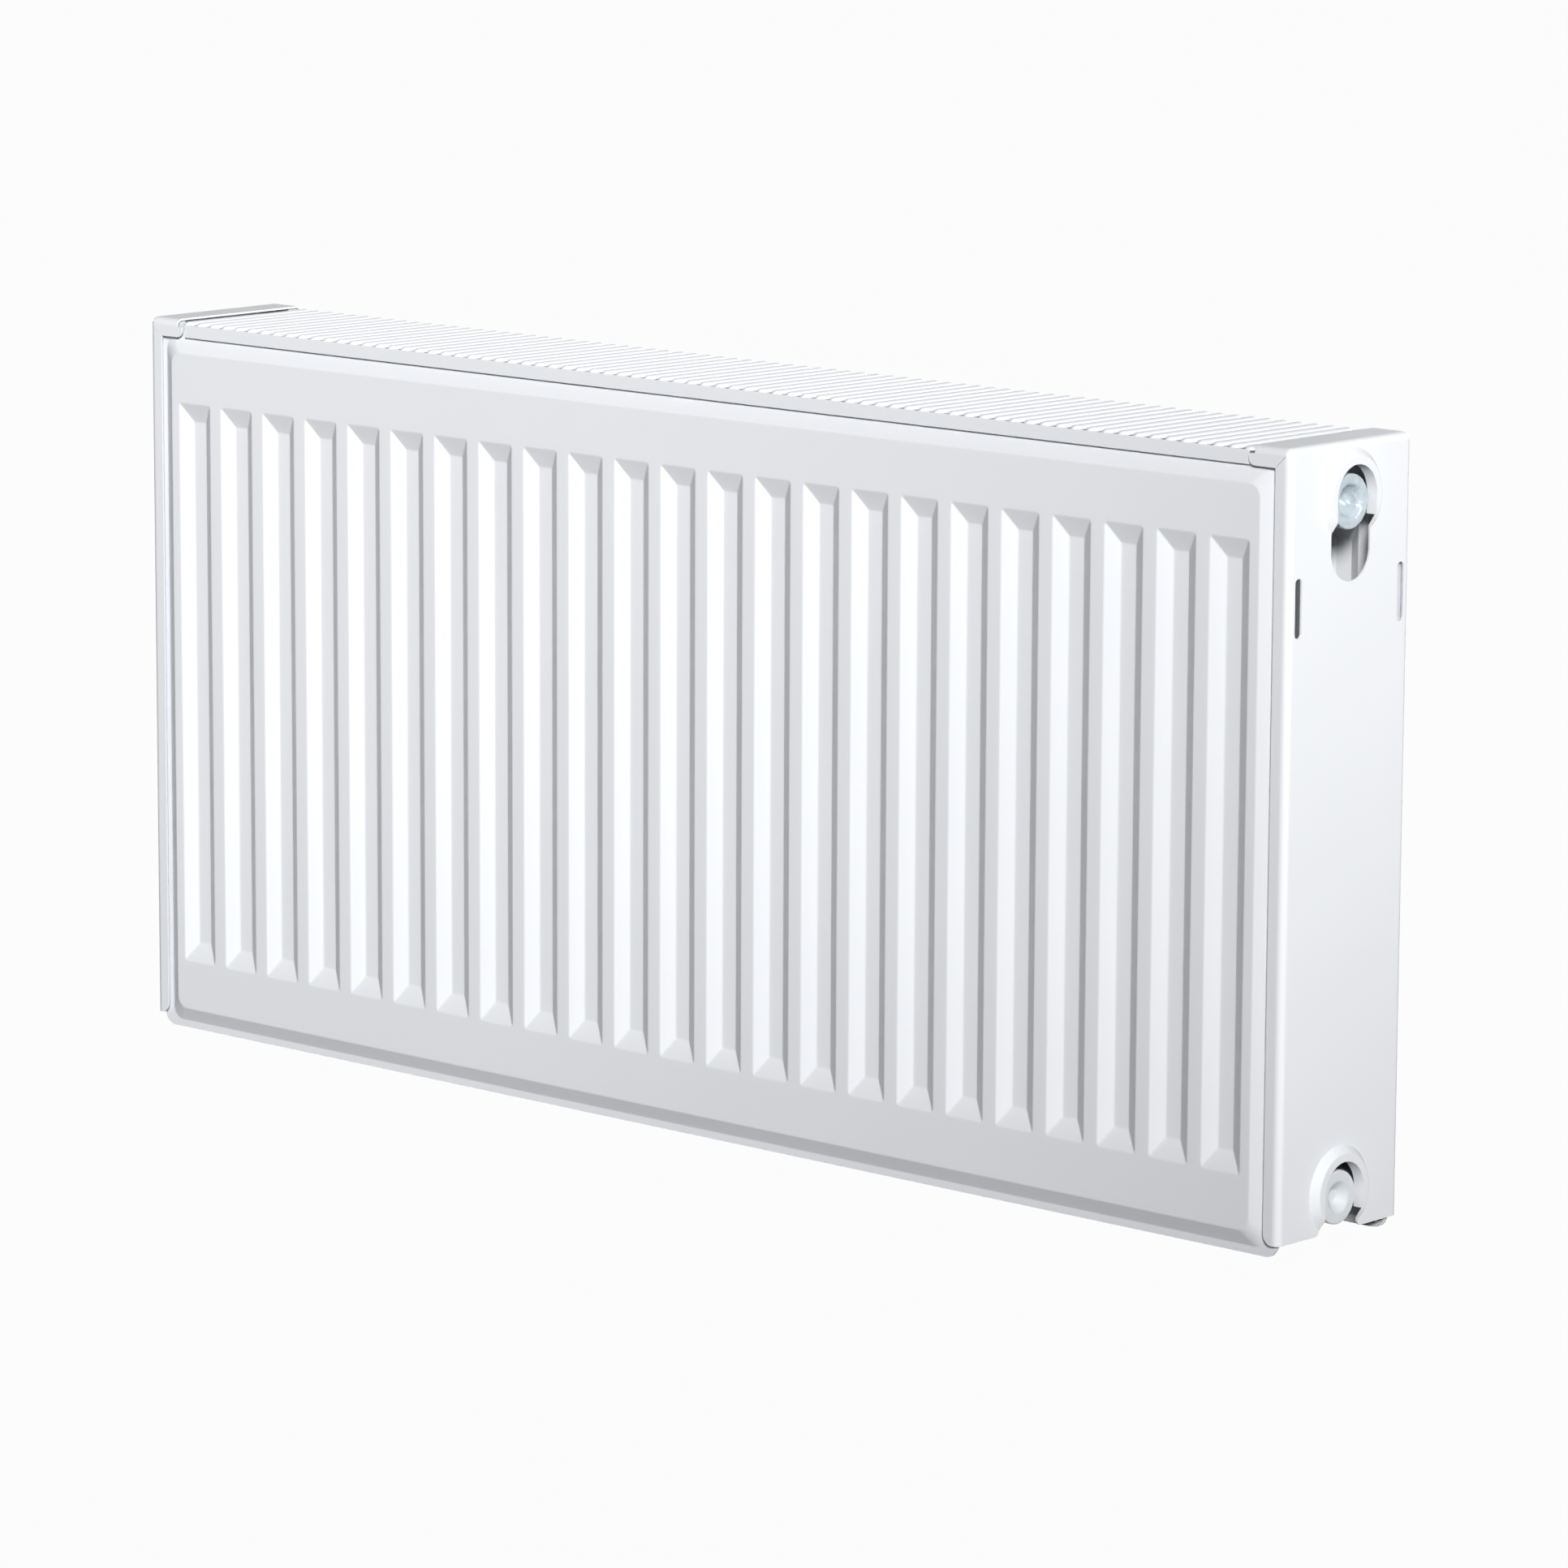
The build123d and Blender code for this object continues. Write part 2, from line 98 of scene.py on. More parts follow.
class RadiatorSizes(bpy.types.PropertyGroup):
    """Sizes of the pressings, covers, grille and plugs."""

    channels: IntProperty(name="Channels", description="Channels across the panel", default=24)
    bulge: length("Bulge", 0.0044, "Crown of the pressing above the welded seam")
    seam_side: length("Seam side", 0.007, "Flat seam beside the raised field")
    seam_foot: length("Seam foot", 0.004, "Flat seam below and above the raised field")
    edge_slope: length("Edge slope", 0.008, "Slope round the raised field")
    field_corner: length("Field corner", 0.007, "Corner radius of the raised field")
    header: length("Header", 0.0275, "Flat band above and below the flutes")
    land: length("Land", 0.0088, "Flat between two flutes")
    flute_side: length("Flute side", 0.0075, "Width of a flute's side slope")
    flute_end: length("Flute end", 0.0105, "Length of a flute's end slope")
    crease: length("Crease", 0.0007, "Width of the rounding along a pressed crease")
    panel_sheet: length("Panel sheet", 0.0012, "Thickness of a pressed sheet")
    cover_sheet: length("Cover sheet", 0.001, "Thickness of a side cover")
    cover_bend: length("Cover bend", 0.004, "Outer radius of the cover's bends")
    cover_edge: length("Cover edge", 0.00025, "Rounding of the cover's cut edges")
    cover_return: length("Cover return", 0.0093, "Width of the returns beside the panels")
    return_corner: length("Return corner", 0.006, "Rounded lower corner of a return")
    cover_top: length("Cover top", 0.022, "Reach of the cover's top over the panels")
    tab_height: length("Tab height", 0.010, "Height of the tab beside the grille's strip")
    tab_corner: length("Tab corner", 0.004, "Rounded lower corner at a tab's end")
    tab_crown: length("Tab crown", 0.0015, "Rounded upper corner at a tab's end")
    mitre_slit: length("Mitre slit", 0.00012, "Half the slit between a tab and the return below it")
    collar_rise: length("Collar rise", 0.0033, "Collar centre above the tapping")
    collar_base: length("Collar base", 0.0233, "Radius of the collar where it leaves the cover")
    collar_crease: length("Collar crease", 0.0004, "Rounding of the collar's steps")
    ledge_radius: length("Ledge radius", 0.0212, "Outer radius of the collar's ledge")
    ledge_height: length("Ledge height", 0.002, "Height of the collar's ledge over the cover")
    ledge_width: length("Ledge width", 0.001, "Width of the collar's ledge")
    rim_radius: length("Rim radius", 0.0186, "Outer radius of the collar's rim")
    rim_height: length("Rim height", 0.0038, "Height of the collar's rim over the cover")
    lip_depth: length("Lip depth", 0.0062, "Depth of the lip inside the collar")
    lip_drop: length("Lip drop", 0.0108, "Lip's lower ends below the collar's centre")
    slot_width: length("Slot width", 0.0305, "Width of the slot for the valve's socket")
    slot_drop: length("Slot drop", 0.027, "Collar centre to the centre of the slot's round end")
    notch_corner: length("Notch corner", 0.003, "Rounded corners of the lower notch")
    vent_width: length("Vent width", 0.0051, "Width of a side slot")
    vent_length: length("Vent length", 0.0294, "Length of a side slot")
    vent_top: length("Vent top", 0.0636, "Side slot's upper end below the cover's top")
    vent_inset: length("Vent inset", 0.0052, "Side slot to the cover's front or rear face")
    bar_pitch: length("Bar pitch", 0.010, "Spacing of the grille bars")
    bar_width: length("Bar width", 0.0063, "Width of a grille bar")
    bar_rise: length("Bar rise", 0.0022, "Arch of a grille bar")
    bar_sheet: length("Bar sheet", 0.0008, "Thickness of a grille bar")
    strip_sheet: length("Strip sheet", 0.001, "Thickness of the grille's strips")
    strip_gap: length("Strip gap", 0.001, "Gap between a strip's end and the cover's tab")
    strip_drop: length("Strip drop", 0.00176, "Top of a strip below the crowns of the bars")
    strip_edge: length("Strip edge", 0.00035, "Rounding of a strip's long edges")
    plug_flange: length("Plug flange", 0.0038, "Thickness of a plug's flange")
    plug_edge: length("Plug edge", 0.0009, "Rounding of a plug's flange")
    plug_shank: length("Plug shank", 0.00927, "Radius of a plug's shank")
    cup_radius: length("Cup radius", 0.008, "Mouth of the plug's cup or dish")
    cup_lip: length("Cup lip", 0.0012, "Chamfer round the mouth of the cup")
    cup_depth: length("Cup depth", 0.0105, "Depth of the upper plug's cup")
    cup_floor: length("Cup floor", 0.0024, "Radius of the cup's floor")
    waist_radius: length("Waist radius", 0.00576, "Radius of the cup where its wall bends")
    waist_depth: length("Waist depth", 0.0063, "Depth of the cup where its wall bends")
    dish_depth: length("Dish depth", 0.0042, "Depth of the lower plug's dish")
    dish_floor: length("Dish floor", 0.003, "Radius of the dish's floor")
    lug_sheet: length("Lug sheet", 0.002, "Thickness of a hanging lug")
    lug_foot: length("Lug foot", 0.008, "Welded foot of a hanging lug")
    lug_edge: length("Lug edge", 0.0007, "Rounding of a lug's bends and edges")


class RadiatorColours(bpy.types.PropertyGroup):
    """Linear colours of the paint and plastics."""

    enamel: colour("Enamel", 0.80, 0.815, 0.84, "White enamel on the panels, covers and grille")
    enamel_shade: colour("Enamel shade", 0.765, 0.78, 0.81, "Enamel where the coat is thinner")
    primer: colour("Primer", 0.60, 0.61, 0.62, "Primer on the convectors and tees")
    clip: colour("Clip", 0.72, 0.73, 0.74, "Nylon of the clips")
    clear_plug: colour("Clear plug", 0.60, 0.68, 0.73, "Milky plastic of the upper plug")
    white_plug: colour("White plug", 0.70, 0.71, 0.73, "White plastic of the lower plug")


# Modelling steps shared by the pieces


def deselect_everything():
    """Leaves edit mode with no object selected."""
    if bpy.context.object and bpy.context.object.mode != "OBJECT":
        bpy.ops.object.mode_set(mode="OBJECT")
    bpy.ops.object.select_all(action="DESELECT")


def make_active(piece):
    """Selects one object alone."""
    deselect_everything()
    piece.select_set(True)
    bpy.context.view_layer.objects.active = piece


def start_editing():
    """Applies the primitive's place and enters edit mode with nothing selected."""
    bpy.ops.object.transform_apply(location=True, rotation=True, scale=True)
    bpy.ops.object.mode_set(mode="EDIT")
    bpy.ops.mesh.select_all(action="DESELECT")


def add_block(low, high):
    """Cube between two corners, in edit mode."""
    deselect_everything()
    low, high = Vector(low), Vector(high)
    bpy.ops.mesh.primitive_cube_add(size=1, location=(low + high) / 2, scale=high - low)
    start_editing()
    return bpy.context.object


def add_disc_block(y, z, radius, near, far, sides):
    """Cylinder along X between two planes, in edit mode."""
    deselect_everything()
    bpy.ops.mesh.primitive_cylinder_add(
        vertices=sides,
        radius=radius,
        depth=far - near,
        location=((near + far) / 2, y, z),
        rotation=(0, math.pi / 2, 0),
    )
    start_editing()
    return bpy.context.object


def add_slot_block(y, z, radius, drop, near, far, sides=COLLAR_SIDES):
    """Slot-shaped block: a round top centred at z, and a round end lower by the drop."""
    block = add_disc_block(y, z, radius, near, far, sides)
    pick("VERT", lambda vert: vert.co.z < z - radius / sides)
    bpy.ops.transform.translate(value=(0, 0, -drop))
    return block


def pick(kind, test):
    """Selects the vertices, edges or faces in edit mode that pass a test."""
    bpy.ops.mesh.select_mode(type=kind)
    bpy.ops.mesh.select_all(action="DESELECT")
    mesh = bmesh.from_edit_mesh(bpy.context.edit_object.data)
    mesh.normal_update()
    found = {"VERT": mesh.verts, "EDGE": mesh.edges, "FACE": mesh.faces}[kind]
    for element in found:
        if test(element):
            element.select_set(True)
    bmesh.update_edit_mesh(bpy.context.edit_object.data)


def face_at(test):
    """Test of a face by its middle and normal."""
    return lambda face: test(face.calc_center_median(), face.normal)


def edge_at(test):
    """Test of an edge by its two ends."""
    return lambda edge: test(edge.verts[0].co, edge.verts[1].co)


def cut(place, normal):
    """Bisects what is selected by a plane."""
    bpy.ops.mesh.bisect(plane_co=place, plane_no=normal)


def apply_modifier(piece, kind, **settings):
    """Adds a modifier and applies it."""
    make_active(piece)
    modifier = piece.modifiers.new(kind, kind)
    for key, value in settings.items():
        setattr(modifier, key, value)
    bpy.ops.object.modifier_apply(modifier=modifier.name)


def combine(piece, tool, operation):
    """Cuts a tool out of a piece, or joins it on, and removes the tool."""
    apply_modifier(piece, "BOOLEAN", object=tool, operation=operation, solver="EXACT")
    bpy.data.objects.remove(tool)


def soften(piece, width, limit, segments=2):
    """Rounds the edges that are sharper than a limit in degrees."""
    apply_modifier(
        piece,
        "BEVEL",
        width=width,
        segments=segments,
        limit_method="ANGLE",
        angle_limit=math.radians(limit),
        miter_outer="MITER_ARC",
    )


def mirrored_copy(piece, axis, place):
    """Copy of a piece, mirrored in a plane across the axis, with its faces outwards."""
    make_active(piece)
    bpy.ops.object.duplicate(linked=False)
    twin = bpy.context.object
    bpy.ops.object.mode_set(mode="EDIT")
    bpy.ops.mesh.select_all(action="SELECT")
    turn = [-1 if k == axis else 1 for k in range(3)]
    centre = [place if k == axis else 0 for k in range(3)]
    bpy.ops.transform.resize(value=turn, center_override=centre)
    bpy.ops.mesh.flip_normals()
    return twin


def finish_piece(piece, name, body, finish, nodes=(), smooth=40):
    """Names a piece, gives it its finish and hangs it on its body."""
    make_active(piece)
    bpy.ops.object.shade_smooth_by_angle(angle=math.radians(smooth))
    apply_modifier(piece, "WEIGHTED_NORMAL", keep_sharp=True)
    piece.data.materials.clear()
    piece.data.materials.append(finish)
    if nodes:
        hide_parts(*nodes)
    piece.name = name
    piece.data.name = name
    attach(piece, body)


def dress_node(node, finish):
    """Gives a construction node its finish."""
    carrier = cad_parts[node]
    for place in carrier.material_slots:
        place.link = "OBJECT"
        place.material = finish


# Finishes


class Signal:
    """A shader value over the surface, used in plain arithmetic."""

    def __init__(self, finish, socket):
        self.finish = finish
        self.socket = socket

    def maths(self, operation, first, second):
        """Math node on two values."""
        return self.finish.node("ShaderNodeMath", {"operation": operation}, {0: first, 1: second})

    def __add__(self, other):
        return self.maths("ADD", self, other)

    def __radd__(self, other):
        return self.maths("ADD", other, self)

    def __mul__(self, other):
        return self.maths("MULTIPLY", self, other)

    def __rmul__(self, other):
        return self.maths("MULTIPLY", other, self)


SOCKETS = {
    "base_color": "Base Color",
    "roughness": "Roughness",
    "ior": "IOR",
    "specular": "Specular IOR Level",
    "coat_weight": "Coat Weight",
    "coat_roughness": "Coat Roughness",
    "subsurface_weight": "Subsurface Weight",
    "transmission_weight": "Transmission Weight",
}


class Finish:
    """A procedural material."""

    def __init__(self, name, **constants):
        self.material = bpy.data.materials.new(name)
        self.material.use_nodes = True
        self.tree = self.material.node_tree
        self.shader = self.tree.nodes["Principled BSDF"]
        for socket, value in constants.items():
            self.shader.inputs[SOCKETS[socket]].default_value = value
        self.place = self.node("ShaderNodeTexCoord", output="Object")

    def node(self, kind, settings=None, sockets=None, output=0):
        """Adds a node with its settings and sockets and returns one of its outputs."""
        made = self.tree.nodes.new(kind)
        for key, value in (settings or {}).items():
            setattr(made, key, value)
        for key, value in (sockets or {}).items():
            if isinstance(value, Signal):
                self.tree.links.new(value.socket, made.inputs[key])
            else:
                made.inputs[key].default_value = value
        return Signal(self, made.outputs[output])

    def noise(self, scale, detail=2.0):
        """Noise between about 0 and 1, with a number of features per metre."""
        return self.node(
            "ShaderNodeTexNoise", None, {"Vector": self.place, "Scale": scale, "Detail": detail}
        )

    def blend(self, mask, first, second):
        """Mix of two colours by a mask."""
        return self.node(
            "ShaderNodeMix",
            {"data_type": "RGBA"},
            {"Factor": mask, "A": tuple(first) + (1,), "B": tuple(second) + (1,)},
            output="Result",
        )

    def bump(self, height, distance, strength):
        """Surface relief from a height."""
        return self.node(
            "ShaderNodeBump", None, {"Height": height, "Distance": distance, "Strength": strength}
        )

    def drive(self, socket, signal):
        """Links a value to a socket of the shader."""
        self.tree.links.new(signal.socket, self.shader.inputs[socket])


def enamel_finish(colours):
    """Stove enamel: faint thickness changes, orange peel and an even satin gloss."""
    finish = Finish("satin_enamel", specular=0.03, coat_weight=0.02, coat_roughness=0.15)
    thickness = finish.noise(9, 3)
    finish.drive("Base Color", finish.blend(thickness, colours.enamel, colours.enamel_shade))
    finish.drive("Roughness", 0.34 + 0.14 * finish.noise(60, 3))
    peel = finish.noise(420, 2) + 0.35 * finish.noise(1500, 1)
    finish.drive("Normal", finish.bump(peel, 0.00012, 0.10))
    return finish.material


def primer_finish(colours):
    """Dipped primer: runs along the height and a matt grain."""
    finish = Finish("dipped_primer", specular=0.35)
    runs = finish.node(
        "ShaderNodeMapping", None, {"Vector": finish.place, "Scale": (60.0, 60.0, 6.0)}
    )
    streaks = finish.node("ShaderNodeTexNoise", None, {"Vector": runs, "Scale": 1.0, "Detail": 3.0})
    shade = [0.86 * part for part in colours.primer]
    finish.drive("Base Color", finish.blend(streaks, colours.primer, shade))
    finish.drive("Roughness", 0.45 + 0.2 * streaks)
    finish.drive("Normal", finish.bump(finish.noise(900, 3), 0.0001, 0.2))
    return finish.material


def clip_finish(colours):
    """Moulded nylon with a fine spark-eroded grain."""
    finish = Finish("clip_nylon", subsurface_weight=0.05)
    shade = [0.93 * part for part in colours.clip]
    finish.drive("Base Color", finish.blend(finish.noise(300, 2), colours.clip, shade))
    finish.drive("Roughness", 0.42 + 0.1 * finish.noise(900, 1))
    finish.drive("Normal", finish.bump(finish.noise(2500, 1), 0.00005, 0.3))
    return finish.material


def clear_plug_finish(colours):
    """Milky polyethylene: part of the light passes, with flow marks and cut facets."""
    finish = Finish("milky_polyethylene", transmission_weight=0.35, ior=1.5, coat_weight=0.5)
    flow = finish.noise(120, 4)
    pale = [min(1.0, 1.12 * part) for part in colours.clear_plug]
    finish.drive("Base Color", finish.blend(flow, colours.clear_plug, pale))
    finish.drive("Roughness", 0.12 + 0.25 * flow)
    facets = finish.node(
        "ShaderNodeTexVoronoi", {"feature": "F1"}, {"Vector": finish.place, "Scale": 260.0}
    )
    finish.drive("Normal", finish.bump(facets + 0.6 * flow, 0.0012, 0.55))
    return finish.material


def white_plug_finish(colours):
    """White polyethylene with soft flow marks."""
    finish = Finish("white_polyethylene", subsurface_weight=0.08)
    flow = finish.noise(150, 3)
    shade = [0.94 * part for part in colours.white_plug]
    finish.drive("Base Color", finish.blend(flow, colours.white_plug, shade))
    finish.drive("Roughness", 0.3 + 0.15 * flow)
    finish.drive("Normal", finish.bump(flow, 0.0004, 0.25))
    return finish.material


def finish_named(name):
    """Finish that the finishes operator made."""
    return bpy.data.materials[name]


class RADIATOR_OT_finishes(bpy.types.Operator):
    """Make the enamel, primer and plastics"""

    bl_idname = "radiator.finishes"
    bl_label = "Finishes"

    def execute(self, context):
        colours = context.scene.radiator_colours
        enamel_finish(colours)
        primer_finish(colours)
        clip_finish(colours)
        clear_plug_finish(colours)
        white_plug_finish(colours)
        return {"FINISHED"}


# Pressed sheets


def press_field(sizes):
    """Raised field of the front sheet: a flat with rounded corners and a flute between channels."""
    side = sheet_high.x - sizes.seam_side - sizes.edge_slope
    low = sheet_low.z + sizes.seam_foot + sizes.edge_slope
    high = sheet_high.z - sizes.seam_foot - sizes.edge_slope
    centre = Vector((0, sheet_low.y, (low + high) / 2))
    deselect_everything()
    bpy.ops.mesh.primitive_plane_add(size=1, location=centre, rotation=(math.pi / 2, 0, 0))
    sheet = bpy.context.object
    start_editing()
    bpy.ops.mesh.select_all(action="SELECT")
    bpy.ops.transform.resize(value=(2 * side, 1, high - low), center_override=centre)
    bpy.ops.mesh.bevel(offset=sizes.field_corner, segments=5, affect="VERTICES")
    band = (low + sizes.header, high - sizes.header)
    for height in band:
        bpy.ops.mesh.select_all(action="SELECT")
        cut((0, 0, height), (0, 0, 1))
    pitch = (sheet_high.x - sheet_low.x) / sizes.channels
    half_flute = (pitch - sizes.land) / 2
    flutes = [(k - sizes.channels / 2) * pitch for k in range(1, sizes.channels)]
    in_band = face_at(lambda middle, normal: band[0] < middle.z < band[1])
    for flute in flutes:
        for edge in (flute - half_flute, flute + half_flute):
            pick("FACE", in_band)
            cut((edge, 0, 0), (1, 0, 0))
    pick(
        "FACE",
        face_at(
            lambda middle, normal: band[0] < middle.z < band[1]
            and min(abs(middle.x - flute) for flute in flutes) < sizes.land / 2
        ),
    )
    bpy.ops.mesh.inset(thickness=sizes.flute_side, use_individual=True)
    band_length = band[1] - band[0]
    shorten = (band_length - 2 * sizes.flute_end) / (band_length - 2 * sizes.flute_side)
    bpy.ops.transform.resize(value=(1, 1, shorten), center_override=centre)
    bpy.ops.transform.translate(value=(0, sizes.bulge, 0))
    return sheet, side, high - low, centre


def widen_border(old, new, centre, back):
    """Carries the sheet's border outwards to a new width and height, and back by a depth."""
    bpy.ops.mesh.select_mode(type="EDGE")
    bpy.ops.mesh.select_all(action="DESELECT")
    bpy.ops.mesh.select_non_manifold()
    bpy.ops.mesh.extrude_edges_move(TRANSFORM_OT_translate={"value": (0, back, 0)})
    bpy.ops.transform.resize(
        value=(new[0] / old[0], 1, new[1] / old[1]), center_override=centre
    )


class RADIATOR_OT_pressed_sheets(bpy.types.Operator):
    """Press the front and rear outer sheets"""

    bl_idname = "radiator.pressed_sheets"
    bl_label = "Pressed sheets"

    def execute(self, context):
        sizes = context.scene.radiator_sizes
        front, side, height, centre = press_field(sizes)
        field = (2 * side, height)
        foot = (field[0] + 2 * sizes.edge_slope, field[1] + 2 * sizes.edge_slope)
        seam = (sheet_high.x - sheet_low.x, sheet_high.z - sheet_low.z)
        widen_border(field, foot, centre, sizes.bulge)
        widen_border(foot, seam, centre, 0)
        soften(front, sizes.crease, 12)
        apply_modifier(front, "SOLIDIFY", thickness=sizes.panel_sheet, offset=-1)
        rear = mirrored_copy(front, 1, middle_y)
        enamel = finish_named("satin_enamel")
        for piece, name in ((front, "front_panel_outer_sheet"), (rear, "rear_panel_outer_sheet")):
            finish_piece(piece, f"pressed_{name}", "radiator", enamel, [name], 30)
        return {"FINISHED"}


# Side covers


def fold_cover(sizes):
    """Folded sheet of the right cover: side, returns, top and the tabs beside the grille."""
    outside = cover_high.x - sizes.rim_height
    shell = add_block(cover_low, (outside, cover_high.y, cover_high.z))
    pick("FACE", face_at(lambda middle, normal: min(normal.x, normal.z) < -SQUARE_ON))
    bpy.ops.mesh.delete(type="FACE")
    pick("EDGE", lambda edge: len(edge.link_faces) == 2)
    bpy.ops.mesh.bevel(offset=sizes.cover_bend, segments=6)
    # Returns below the tabs
    tab_foot = cover_high.z - sizes.tab_height
    return_edge = outside - sizes.cover_return
    upright = face_at(lambda middle, normal: abs(normal.y) > SQUARE_ON)
    below_tab = face_at(
        lambda middle, normal: abs(normal.y) > SQUARE_ON and middle.z < tab_foot
    )
    past_return = face_at(lambda middle, normal: middle.x < return_edge)
    pick("FACE", upright)
    cut((0, 0, tab_foot), (0, 0, 1))
    pick("FACE", below_tab)
    cut((return_edge, 0, 0), (1, 0, 0))
    pick("FACE", lambda face: below_tab(face) and past_return(face))
    bpy.ops.mesh.delete(type="FACE")
    # Top flange, shorter than the tabs
    flange_edge = outside - sizes.cover_top
    bend_foot = cover_high.z - sizes.cover_bend
    pick("FACE", face_at(lambda middle, normal: middle.z > bend_foot))
    cut((flange_edge, 0, 0), (1, 0, 0))
    pick("FACE", face_at(lambda middle, normal: middle.z > bend_foot and middle.x < flange_edge))
    bpy.ops.mesh.delete(type="FACE")
    # Rounded ends of the tabs and the returns
    tab_end = cover_low.x + TOUCH
    pick("VERT", lambda vert: vert.co.x < tab_end and vert.co.z < tab_foot + TOUCH)
    bpy.ops.mesh.bevel(offset=sizes.tab_corner, segments=5, affect="VERTICES")
    pick("VERT", lambda vert: vert.co.x < tab_end and vert.co.z > bend_foot - TOUCH)
    bpy.ops.mesh.bevel(offset=sizes.tab_crown, segments=3, affect="VERTICES")
    foot = Vector((return_edge + TOUCH, 0, cover_low.z + TOUCH))
    pick("VERT", lambda vert: vert.co.x < foot.x and vert.co.z < foot.z)
    bpy.ops.mesh.bevel(offset=sizes.return_corner, segments=6, affect="VERTICES")
    # Mitre between each tab and the return below it
    mitre = Vector((1, 0, -1))
    start = Vector((return_edge, 0, tab_foot))

    def on_mitre(end):
        return abs((end - start).dot(mitre)) < TOUCH and end.x > return_edge - TOUCH

    pick("FACE", upright)
    cut(start, mitre)
    pick("EDGE", edge_at(lambda a, b: on_mitre(a) and on_mitre(b) and abs(a.x - b.x) > TOUCH))
    bpy.ops.mesh.bevel(offset=sizes.mitre_slit, segments=1)
    mitre_length = math.sqrt(2) * (sizes.cover_return - sizes.cover_bend)
    slit_area = 2 * sizes.mitre_slit * (mitre_length + sizes.mitre_slit)
    past_mitre = face_at(lambda middle, normal: middle.x > return_edge and middle.z > tab_foot)
    pick(
        "FACE",
        lambda face: upright(face) and past_mitre(face) and face.calc_area() < slit_area,
    )
    bpy.ops.mesh.delete(type="FACE")
    apply_modifier(shell, "SOLIDIFY", thickness=sizes.cover_sheet, offset=-1, use_even_offset=True)
    return shell, outside


def draw_out(distance, scale, centre):
    """Draws the selected round face out along X and scales it about a centre."""
    bpy.ops.mesh.extrude_region_move(TRANSFORM_OT_translate={"value": (distance, 0, 0)})
    bpy.ops.transform.resize(value=(1, scale, scale), center_override=centre)


def turn_collar(z, start, steps):
    """Turned block along X: a disc whose outer face is drawn out through (radius, plane) steps."""
    radius, plane = steps[0]
    block = add_disc_block(middle_y, z, radius, start, plane, COLLAR_SIDES)
    outer_face = face_at(lambda middle, normal: normal.x > SQUARE_ON and middle.x > plane - TOUCH)
    for new_radius, new_plane in steps[1:]:
        pick("FACE", outer_face)
        draw_out(new_plane - plane, new_radius / radius, (0, middle_y, z))
        radius, plane = new_radius, new_plane
    return block


def raise_collar(shell, outside, z, drop, sizes):
    """Two-step collar on the cover, hollow behind, with a lip and the slot cut through it."""
    sheet = sizes.cover_sheet
    ledge_inner = sizes.ledge_radius - sizes.ledge_width
    rim = outside + sizes.rim_height
    root = outside - 0.8 * sheet
    behind = outside - 1.5 * sheet
    under_rim = rim - 0.3 * sheet
    hill = turn_collar(
        z,
        root,
        [
            (sizes.collar_base, outside),
            (sizes.ledge_radius, outside + sizes.ledge_height),
            (ledge_inner, outside + sizes.ledge_height),
            (sizes.rim_radius, rim),
        ],
    )
    soften(hill, sizes.collar_crease, 30, 3)
    combine(shell, hill, "UNION")
    hollow = turn_collar(
        z,
        behind,
        [
            (sizes.collar_base - sheet, outside - sheet),
            (sizes.ledge_radius - sheet, outside + sizes.ledge_height - sheet),
            (ledge_inner - sheet, outside + sizes.ledge_height - sheet),
            (sizes.rim_radius - sheet, rim - sheet),
        ],
    )
    combine(shell, hollow, "DIFFERENCE")
    half_slot = sizes.slot_width / 2
    lip_back = rim - sizes.lip_depth
    lip = add_slot_block(middle_y, z, half_slot + sheet, sizes.slot_drop, lip_back, under_rim)
    bpy.ops.mesh.select_all(action="SELECT")
    bpy.ops.mesh.bisect(
        plane_co=(0, 0, z - sizes.lip_drop), plane_no=(0, 0, 1), use_fill=True, clear_inner=True
    )
    combine(shell, lip, "UNION")
    slot = add_slot_block(
        middle_y, z, half_slot, drop, lip_back - sizes.lip_depth, rim + sizes.lip_depth
    )
    combine(shell, slot, "DIFFERENCE")


def cut_vents(shell, outside, sizes):
    """Side slots near the bends."""
    radius = sizes.vent_width / 2
    centre_z = cover_high.z - sizes.vent_top - radius
    drop = sizes.vent_length - sizes.vent_width
    inside = outside - sizes.cover_sheet
    for side, face_y in ((-1, cover_low.y), (1, cover_high.y)):
        y = face_y - side * (sizes.vent_inset + radius)
        near, far = inside - sizes.vent_width, outside + sizes.vent_width
        slot = add_slot_block(y, centre_z, radius, drop, near, far, VENT_SIDES)
        combine(shell, slot, "DIFFERENCE")


def round_notch(shell, sizes):
    """Rounds the two corners where the lower notch meets the cover's bottom edge."""
    make_active(shell)
    bpy.ops.object.mode_set(mode="EDIT")
    reach = sizes.cover_sheet / 5
    half_slot = sizes.slot_width / 2

    def at_corner(end):
        aside = abs(end.y - middle_y)
        return abs(end.z - cover_low.z) < reach and abs(aside - half_slot) < reach

    pick("EDGE", edge_at(lambda a, b: at_corner(a) and at_corner(b) and abs(a.x - b.x) > reach))
    bpy.ops.mesh.bevel(offset=sizes.notch_corner, segments=6)


